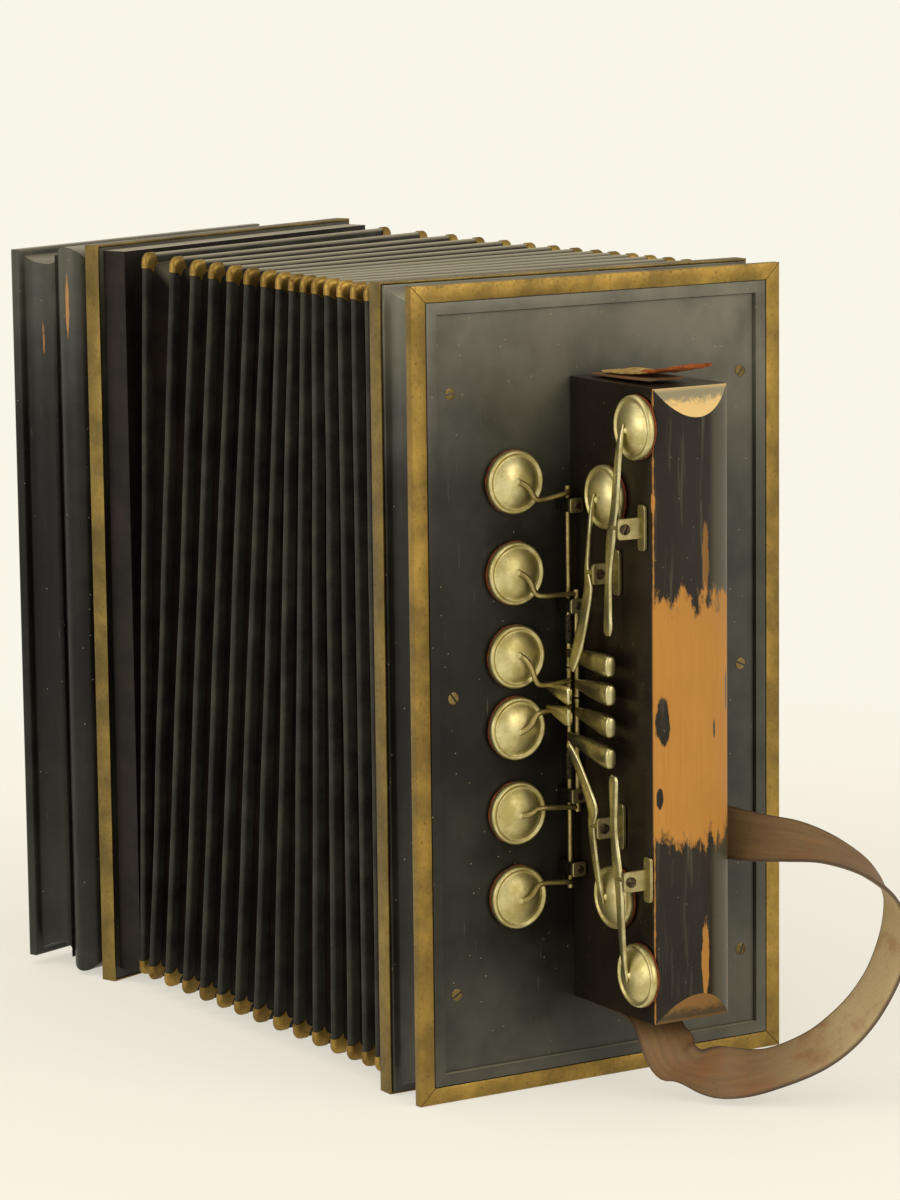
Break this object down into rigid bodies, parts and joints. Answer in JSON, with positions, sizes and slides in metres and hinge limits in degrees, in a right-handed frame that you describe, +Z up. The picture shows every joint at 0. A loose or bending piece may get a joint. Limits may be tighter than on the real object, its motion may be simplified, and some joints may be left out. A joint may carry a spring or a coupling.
{
  "type": "button accordion",
  "caption": "Small button accordion with fanned bellows, brass-edged wooden ends, a bass hand box with pads, levers and a loose strap, and a row of treble buttons.",
  "frame": {"origin": "middle of the base, on the floor that both ends stand on", "axes": "+Z up; +X outwards from the bass end's panel; -Y towards the front, the side where the bellows are drawn together"},
  "size_m": [0.4236, 0.1676, 0.28],
  "materials": {
    "bare_wood": "bare light wood",
    "bellows_cloth": "black book cloth on card, matt",
    "black_lacquer": "black lacquer over wood, satin, worn to bare wood at edges",
    "bone": null,
    "brass": "tarnished sheet brass",
    "leather": "old dry leather",
    "nickel_silver": "yellowed nickel silver, worn satin"
  },
  "bodies": {
    "bass_end": {"bass_bellows_frame": "black_lacquer", "bass_brass_band": "brass", "bass_brass_edge": "brass", "bass_frame": "black_lacquer", "bass_panel": "black_lacquer", "bass_reed_block": "bare_wood", "hand_box": "black_lacquer", "hand_strap": "leather", "lever_bracket_1": "nickel_silver", "lever_bracket_2": "nickel_silver", "lever_bracket_3": "nickel_silver", "lever_bracket_4": "nickel_silver", "rod_post_1": "nickel_silver", "rod_post_2": "nickel_silver", "rod_post_3": "nickel_silver", "rod_post_4": "nickel_silver", "strap_stub": "leather"},
    "fold_01": {"bellows_fold_01": "bellows_cloth"},
    "fold_02": {"bellows_fold_02": "bellows_cloth"},
    "fold_03": {"bellows_fold_03": "bellows_cloth"},
    "fold_04": {"bellows_fold_04": "bellows_cloth"},
    "fold_05": {"bellows_fold_05": "bellows_cloth"},
    "fold_06": {"bellows_fold_06": "bellows_cloth"},
    "fold_07": {"bellows_fold_07": "bellows_cloth"},
    "fold_08": {"bellows_fold_08": "bellows_cloth"},
    "fold_09": {"bellows_fold_09": "bellows_cloth"},
    "fold_10": {"bellows_fold_10": "bellows_cloth"},
    "fold_11": {"bellows_fold_11": "bellows_cloth"},
    "fold_12": {"bellows_fold_12": "bellows_cloth"},
    "fold_13": {"bellows_fold_13": "bellows_cloth"},
    "fold_14": {"bellows_fold_14": "bellows_cloth"},
    "fold_15": {"bellows_fold_15": "bellows_cloth"},
    "treble_end": {"treble_frame": "black_lacquer", "treble_brass_band": "brass", "treble_cover": "black_lacquer", "treble_action_board": "bare_wood", "treble_bellows_frame": "black_lacquer", "treble_reed_block": "bare_wood", "fingerboard": "black_lacquer"},
    "bass_rod_key_1": {"bass_rod_key_1": "nickel_silver"},
    "bass_rod_key_2": {"bass_rod_key_2": "nickel_silver"},
    "bass_rod_key_3": {"bass_rod_key_3": "nickel_silver"},
    "bass_rod_key_4": {"bass_rod_key_4": "nickel_silver"},
    "bass_rod_key_5": {"bass_rod_key_5": "nickel_silver"},
    "bass_rod_key_6": {"bass_rod_key_6": "nickel_silver"},
    "bass_lever_1": {"bass_lever_1": "nickel_silver"},
    "bass_lever_2": {"bass_lever_2": "nickel_silver"},
    "bass_lever_3": {"bass_lever_3": "nickel_silver"},
    "bass_lever_4": {"bass_lever_4": "nickel_silver"},
    "treble_button_01": {"treble_button_01": "bone"},
    "treble_button_02": {"treble_button_02": "bone"},
    "treble_button_03": {"treble_button_03": "bone"},
    "treble_button_04": {"treble_button_04": "bone"},
    "treble_button_05": {"treble_button_05": "bone"},
    "treble_button_06": {"treble_button_06": "bone"},
    "treble_button_07": {"treble_button_07": "bone"},
    "treble_button_08": {"treble_button_08": "bone"},
    "treble_button_09": {"treble_button_09": "bone"},
    "treble_button_10": {"treble_button_10": "bone"}
  },
  "joints": [
    {"name": "fold_01_swing", "type": "hinge", "parent": "bass_end", "child": "fold_01", "pos_m": [0.09955, -0.54385, 0.14], "axis": [0, 0, 1], "range_deg": [-0.2906, 0.3114], "deforming": ["bellows_fold_01"]},
    {"name": "fold_02_swing", "type": "hinge", "parent": "fold_01", "child": "fold_02", "pos_m": [0.08974, -0.5441, 0.14], "axis": [0, 0, 1], "range_deg": [-0.6, 0.64], "deforming": ["bellows_fold_02"]},
    {"name": "fold_03_swing", "type": "hinge", "parent": "fold_02", "child": "fold_03", "pos_m": [0.07938, -0.54436, 0.14], "axis": [0, 0, 1], "range_deg": [-0.63, 0.67], "deforming": ["bellows_fold_03"]},
    {"name": "fold_04_swing", "type": "hinge", "parent": "fold_03", "child": "fold_04", "pos_m": [0.06847, -0.54464, 0.14], "axis": [0, 0, 1], "range_deg": [-0.66, 0.71], "deforming": ["bellows_fold_04"]},
    {"name": "fold_05_swing", "type": "hinge", "parent": "fold_04", "child": "fold_05", "pos_m": [0.05702, -0.54493, 0.14], "axis": [0, 0, 1], "range_deg": [-0.69, 0.74], "deforming": ["bellows_fold_05"]},
    {"name": "fold_06_swing", "type": "hinge", "parent": "fold_05", "child": "fold_06", "pos_m": [0.04502, -0.54523, 0.14], "axis": [0, 0, 1], "range_deg": [-0.73, 0.78], "deforming": ["bellows_fold_06"]},
    {"name": "fold_07_swing", "type": "hinge", "parent": "fold_06", "child": "fold_07", "pos_m": [0.03248, -0.54555, 0.14], "axis": [0, 0, 1], "range_deg": [-0.76, 0.81], "deforming": ["bellows_fold_07"]},
    {"name": "fold_08_swing", "type": "hinge", "parent": "fold_07", "child": "fold_08", "pos_m": [0.01939, -0.54588, 0.14], "axis": [0, 0, 1], "range_deg": [-0.79, 0.85], "deforming": ["bellows_fold_08"]},
    {"name": "fold_09_swing", "type": "hinge", "parent": "fold_08", "child": "fold_09", "pos_m": [0.00576, -0.54623, 0.14], "axis": [0, 0, 1], "range_deg": [-0.82, 0.88], "deforming": ["bellows_fold_09"]},
    {"name": "fold_10_swing", "type": "hinge", "parent": "fold_09", "child": "fold_10", "pos_m": [-0.00842, -0.54659, 0.14], "axis": [0, 0, 1], "range_deg": [-0.86, 0.92], "deforming": ["bellows_fold_10"]},
    {"name": "fold_11_swing", "type": "hinge", "parent": "fold_10", "child": "fold_11", "pos_m": [-0.02314, -0.54696, 0.14], "axis": [0, 0, 1], "range_deg": [-0.89, 0.95], "deforming": ["bellows_fold_11"]},
    {"name": "fold_12_swing", "type": "hinge", "parent": "fold_11", "child": "fold_12", "pos_m": [-0.03841, -0.54735, 0.14], "axis": [0, 0, 1], "range_deg": [-0.92, 0.99], "deforming": ["bellows_fold_12"]},
    {"name": "fold_13_swing", "type": "hinge", "parent": "fold_12", "child": "fold_13", "pos_m": [-0.05422, -0.54775, 0.14], "axis": [0, 0, 1], "range_deg": [-0.95, 1.02], "deforming": ["bellows_fold_13"]},
    {"name": "fold_14_swing", "type": "hinge", "parent": "fold_13", "child": "fold_14", "pos_m": [-0.07058, -0.54817, 0.14], "axis": [0, 0, 1], "range_deg": [-0.98, 1.06], "deforming": ["bellows_fold_14"]},
    {"name": "fold_15_swing", "type": "hinge", "parent": "fold_14", "child": "fold_15", "pos_m": [-0.08748, -0.5486, 0.14], "axis": [0, 0, 1], "range_deg": [-1.02, 1.09], "deforming": ["bellows_fold_15"]},
    {"name": "treble_end_swing", "type": "hinge", "parent": "fold_15", "child": "treble_end", "pos_m": [-0.10493, -0.54904, 0.14], "axis": [0, 0, 1], "range_deg": [-0.51, 0.54]},
    {"name": "bass_rod_key_1_rock", "type": "hinge", "parent": "bass_end", "child": "bass_rod_key_1", "pos_m": [0.12002, -0.00749, 0.17835], "axis": [0, 0, 1], "range_deg": [0, 6.5], "stiffness_Nm_per_rad": 0.12, "springref_deg": -8.59},
    {"name": "bass_rod_key_2_rock", "type": "hinge", "parent": "bass_end", "child": "bass_rod_key_2", "pos_m": [0.12242, -0.00579, 0.1554], "axis": [0, 0, 1], "range_deg": [0, 6.5], "stiffness_Nm_per_rad": 0.12, "springref_deg": -8.59},
    {"name": "bass_rod_key_3_rock", "type": "hinge", "parent": "bass_end", "child": "bass_rod_key_3", "pos_m": [0.12002, -0.00749, 0.14225], "axis": [0, 0, 1], "range_deg": [0, 6.5], "stiffness_Nm_per_rad": 0.12, "springref_deg": -8.59},
    {"name": "bass_rod_key_4_rock", "type": "hinge", "parent": "bass_end", "child": "bass_rod_key_4", "pos_m": [0.12002, -0.00749, 0.1329], "axis": [0, 0, 1], "range_deg": [0, 6.5], "stiffness_Nm_per_rad": 0.12, "springref_deg": -8.59},
    {"name": "bass_rod_key_5_rock", "type": "hinge", "parent": "bass_end", "child": "bass_rod_key_5", "pos_m": [0.12242, -0.00579, 0.1166], "axis": [0, 0, 1], "range_deg": [0, 6.5], "stiffness_Nm_per_rad": 0.12, "springref_deg": -8.59},
    {"name": "bass_rod_key_6_rock", "type": "hinge", "parent": "bass_end", "child": "bass_rod_key_6", "pos_m": [0.12002, -0.00749, 0.099], "axis": [0, 0, 1], "range_deg": [0, 6.5], "stiffness_Nm_per_rad": 0.12, "springref_deg": -8.59},
    {"name": "bass_lever_1_rock", "type": "hinge", "parent": "bass_end", "child": "bass_lever_1", "pos_m": [0.15202, -0.0106, 0.1992], "axis": [1, 0, 0], "range_deg": [0, 6], "stiffness_Nm_per_rad": 0.12, "springref_deg": -8.59},
    {"name": "bass_lever_2_rock", "type": "hinge", "parent": "bass_end", "child": "bass_lever_2", "pos_m": [0.13662, -0.0106, 0.1823], "axis": [1, 0, 0], "range_deg": [0, 3.8], "stiffness_Nm_per_rad": 0.12, "springref_deg": -8.59},
    {"name": "bass_lever_3_rock", "type": "hinge", "parent": "bass_end", "child": "bass_lever_3", "pos_m": [0.13842, -0.0106, 0.0955], "axis": [-1, 0, 0], "range_deg": [0, 5], "stiffness_Nm_per_rad": 0.12, "springref_deg": -8.59},
    {"name": "bass_lever_4_rock", "type": "hinge", "parent": "bass_end", "child": "bass_lever_4", "pos_m": [0.15462, -0.0106, 0.0799], "axis": [-1, 0, 0], "range_deg": [0, 6], "stiffness_Nm_per_rad": 0.12, "springref_deg": -8.59},
    {"name": "treble_button_01_press", "type": "slide", "parent": "treble_end", "child": "treble_button_01", "axis": [0.9323, 0.3616, 0], "range_m": [0, 0.0035], "stiffness_N_per_m": 150, "springref_m": -0.005},
    {"name": "treble_button_02_press", "type": "slide", "parent": "treble_end", "child": "treble_button_02", "axis": [0.9323, 0.3616, 0], "range_m": [0, 0.0035], "stiffness_N_per_m": 150, "springref_m": -0.005},
    {"name": "treble_button_03_press", "type": "slide", "parent": "treble_end", "child": "treble_button_03", "axis": [0.9323, 0.3616, 0], "range_m": [0, 0.0035], "stiffness_N_per_m": 150, "springref_m": -0.005},
    {"name": "treble_button_04_press", "type": "slide", "parent": "treble_end", "child": "treble_button_04", "axis": [0.9323, 0.3616, 0], "range_m": [0, 0.0035], "stiffness_N_per_m": 150, "springref_m": -0.005},
    {"name": "treble_button_05_press", "type": "slide", "parent": "treble_end", "child": "treble_button_05", "axis": [0.9323, 0.3616, 0], "range_m": [0, 0.0035], "stiffness_N_per_m": 150, "springref_m": -0.005},
    {"name": "treble_button_06_press", "type": "slide", "parent": "treble_end", "child": "treble_button_06", "axis": [0.9323, 0.3616, 0], "range_m": [0, 0.0035], "stiffness_N_per_m": 150, "springref_m": -0.005},
    {"name": "treble_button_07_press", "type": "slide", "parent": "treble_end", "child": "treble_button_07", "axis": [0.9323, 0.3616, 0], "range_m": [0, 0.0035], "stiffness_N_per_m": 150, "springref_m": -0.005},
    {"name": "treble_button_08_press", "type": "slide", "parent": "treble_end", "child": "treble_button_08", "axis": [0.9323, 0.3616, 0], "range_m": [0, 0.0035], "stiffness_N_per_m": 150, "springref_m": -0.005},
    {"name": "treble_button_09_press", "type": "slide", "parent": "treble_end", "child": "treble_button_09", "axis": [0.9323, 0.3616, 0], "range_m": [0, 0.0035], "stiffness_N_per_m": 150, "springref_m": -0.005},
    {"name": "treble_button_10_press", "type": "slide", "parent": "treble_end", "child": "treble_button_10", "axis": [0.9323, 0.3616, 0], "range_m": [0, 0.0035], "stiffness_N_per_m": 150, "springref_m": -0.005}
  ],
  "couplings": [
    {"joint": "fold_01_swing", "follows": "treble_end_swing", "ratio": 0.5625},
    {"joint": "fold_02_swing", "follows": "treble_end_swing", "ratio": 1.1562},
    {"joint": "fold_03_swing", "follows": "treble_end_swing", "ratio": 1.2188},
    {"joint": "fold_04_swing", "follows": "treble_end_swing", "ratio": 1.2812},
    {"joint": "fold_05_swing", "follows": "treble_end_swing", "ratio": 1.3438},
    {"joint": "fold_06_swing", "follows": "treble_end_swing", "ratio": 1.4062},
    {"joint": "fold_07_swing", "follows": "treble_end_swing", "ratio": 1.4688},
    {"joint": "fold_08_swing", "follows": "treble_end_swing", "ratio": 1.5312},
    {"joint": "fold_09_swing", "follows": "treble_end_swing", "ratio": 1.5938},
    {"joint": "fold_10_swing", "follows": "treble_end_swing", "ratio": 1.6562},
    {"joint": "fold_11_swing", "follows": "treble_end_swing", "ratio": 1.7188},
    {"joint": "fold_12_swing", "follows": "treble_end_swing", "ratio": 1.7812},
    {"joint": "fold_13_swing", "follows": "treble_end_swing", "ratio": 1.8438},
    {"joint": "fold_14_swing", "follows": "treble_end_swing", "ratio": 1.9062},
    {"joint": "fold_15_swing", "follows": "treble_end_swing", "ratio": 1.9688}
  ]
}
